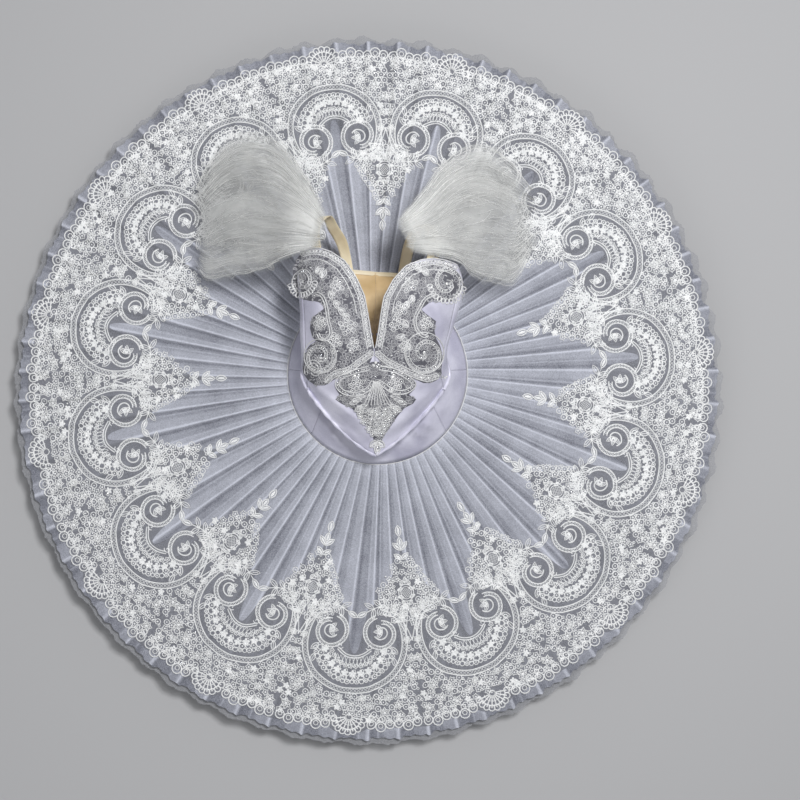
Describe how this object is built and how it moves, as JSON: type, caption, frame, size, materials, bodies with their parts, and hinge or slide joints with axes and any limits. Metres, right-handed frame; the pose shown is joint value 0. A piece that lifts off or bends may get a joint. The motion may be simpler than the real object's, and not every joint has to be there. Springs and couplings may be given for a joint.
{
  "type": "ballet tutu",
  "caption": "Flat pancake ballet tutu: pleated net skirt with a scalloped lace border, satin basque and boned bodice with a V neck, straps and sheer puff sleeves, laid on a surface.",
  "frame": {"origin": "on the surface it lies on, under the middle of its bounding box, which is the middle of the skirt's rim", "axes": "+Z up from the surface, +Y from the pointed front of the bodice towards its back, +X to the right as seen from above with +Y up"},
  "size_m": [1.0343, 1.0348, 0.2427],
  "materials": {
    "satin": "satin",
    "lining": "matt",
    "binding": "matt",
    "elastic": "matt",
    "tulle": "sheer",
    "beaded_lace": "beaded",
    "skirt_lace": "lace",
    "net": "sheer, matt"
  },
  "bodies": {
    "root": {"basque_front": "satin", "basque_side_left": "satin", "basque_side_right": "satin", "basque_back_left": "satin", "basque_back_right": "satin", "bodice_front_left": "satin", "bodice_front_right": "satin", "bodice_side_left": "satin", "bodice_side_right": "satin", "bodice_back_left": "satin", "bodice_back_right": "satin", "lining_back_left": "lining", "lining_back_right": "lining", "back_binding": "binding", "strap_left": "elastic", "strap_right": "elastic", "sleeve_left": "tulle", "sleeve_right": "tulle", "lace_cup_left": "beaded_lace", "lace_cup_right": "beaded_lace", "lace_front_point": "beaded_lace", "lace_border": "skirt_lace", "skirt_top": "net", "net_layer_2": "net", "net_layer_3": "net", "net_layer_4": "net", "net_layer_5": "net", "net_layer_6": "net", "net_layer_7": "net", "net_layer_8": "net", "panty": "net"}
  },
  "joints": []
}
